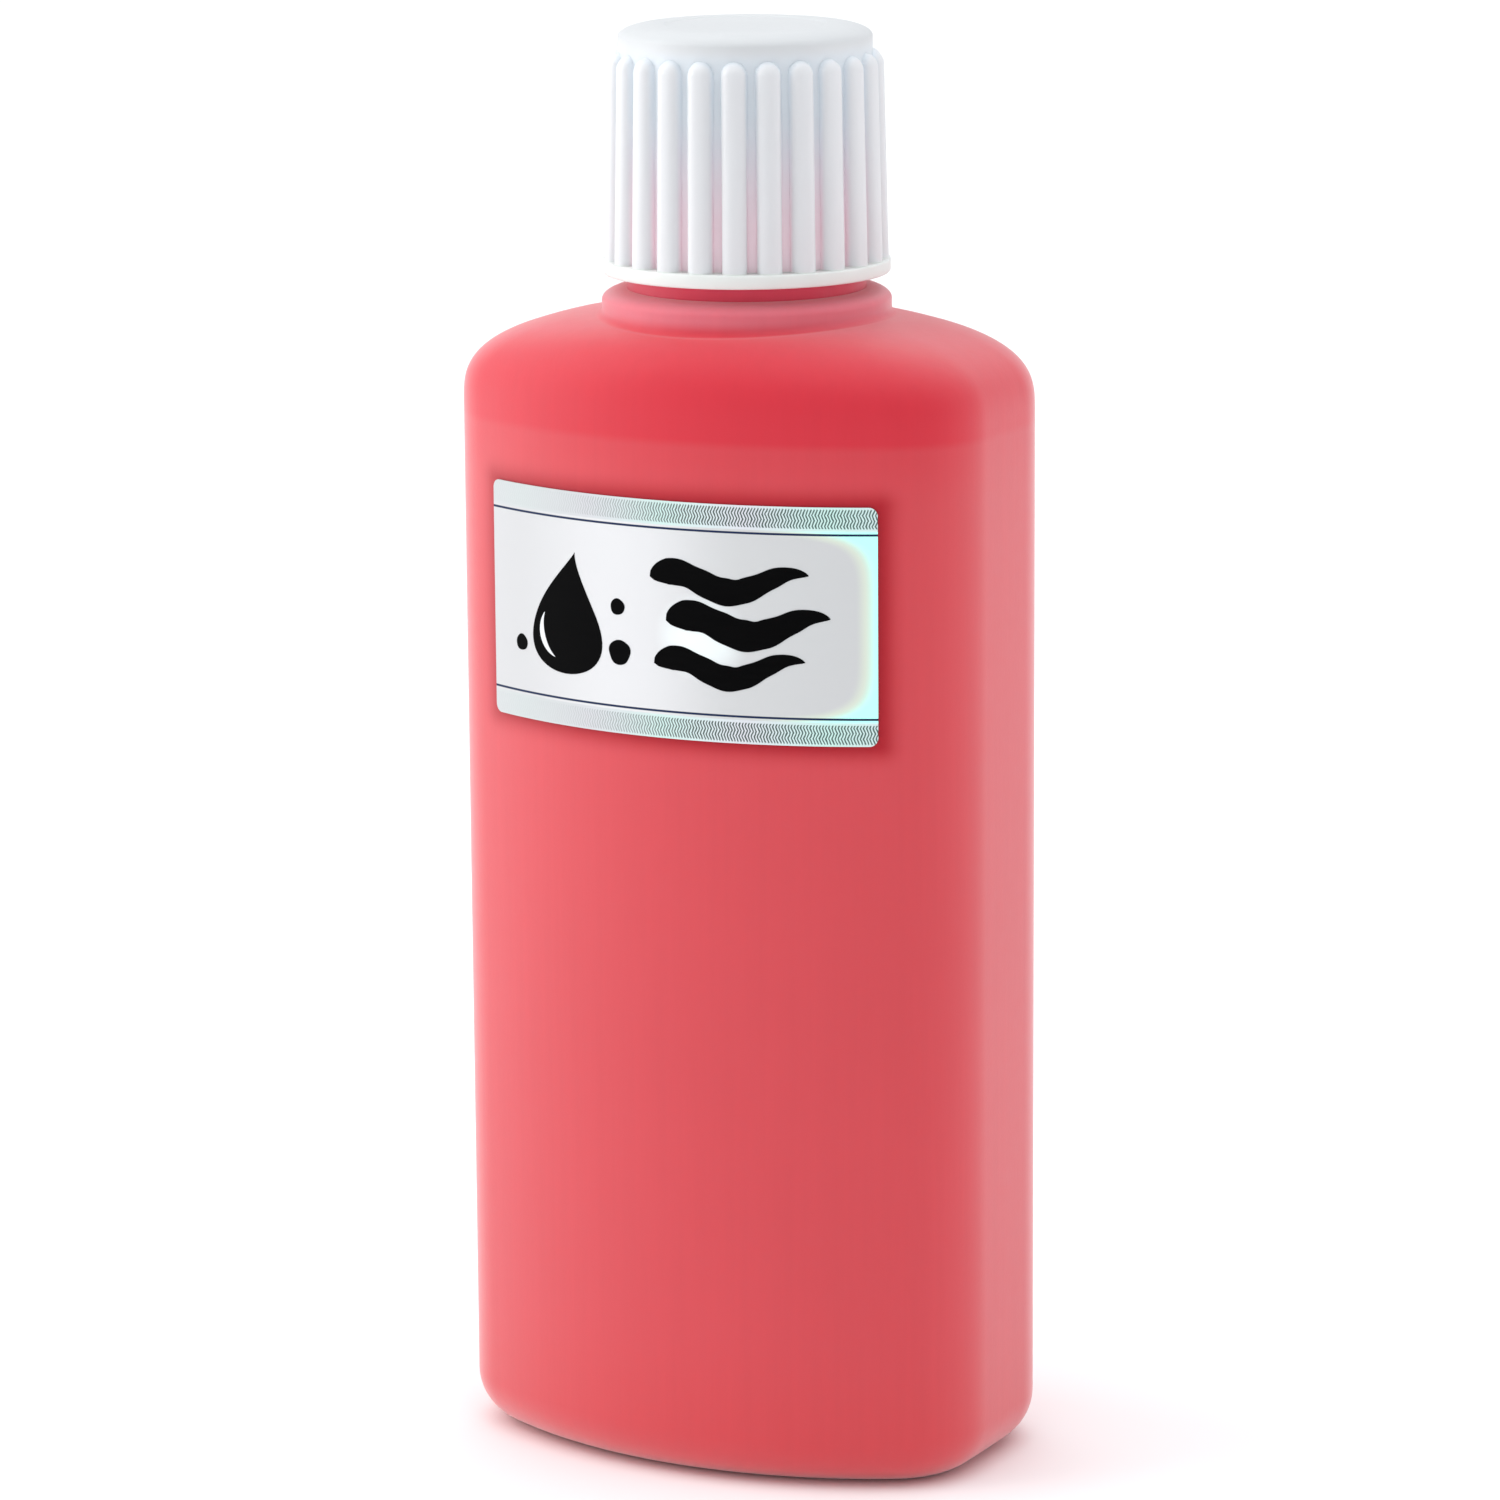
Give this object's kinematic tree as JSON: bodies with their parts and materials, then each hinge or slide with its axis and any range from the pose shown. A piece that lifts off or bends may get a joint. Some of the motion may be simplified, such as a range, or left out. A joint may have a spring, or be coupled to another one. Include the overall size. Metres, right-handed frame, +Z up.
{
  "type": "ink bottle",
  "caption": "Flat-sided frosted plastic ink bottle with a ribbed screw cap, sealing liner, pouring insert, ink inside and a silver front label.",
  "frame": {"origin": "centre of the bottle's base, on the plane it stands on", "axes": "+Z up along the neck, X across the wide faces, the labelled front faces -Y"},
  "size_m": [0.0592, 0.0412, 0.15],
  "materials": {
    "frosted_bottle": "frosted translucent polyethylene, tinted red by the ink behind it",
    "red_ink": "water-thin red ink",
    "soft_insert": "natural soft polyethylene",
    "white_cap": "satin white moulded plastic",
    "liner_foam": "soft closed-cell liner",
    "silver_film": "silver holographic film"
  },
  "bodies": {
    "bottle": {"bottle_body": "frosted_bottle", "ink": "red_ink", "pouring_insert": "soft_insert", "front_label": "silver_film", "back_label": "silver_film"},
    "liner": {"cap_liner": "liner_foam"},
    "cap": {"cap_shell": "white_cap"}
  },
  "joints": [
    {"name": "cap_rise", "type": "slide", "parent": "bottle", "child": "liner", "axis": [0, 0, 1], "range_m": [0, 0.0256]},
    {"name": "cap_turn", "type": "hinge", "parent": "liner", "child": "cap", "pos_m": [0, 0, 0.1367], "axis": [0, 0, 1], "range_deg": [0, 2880]}
  ],
  "couplings": [
    {"joint": "cap_turn", "follows": "cap_rise", "rad_per_m": 1963.5}
  ]
}
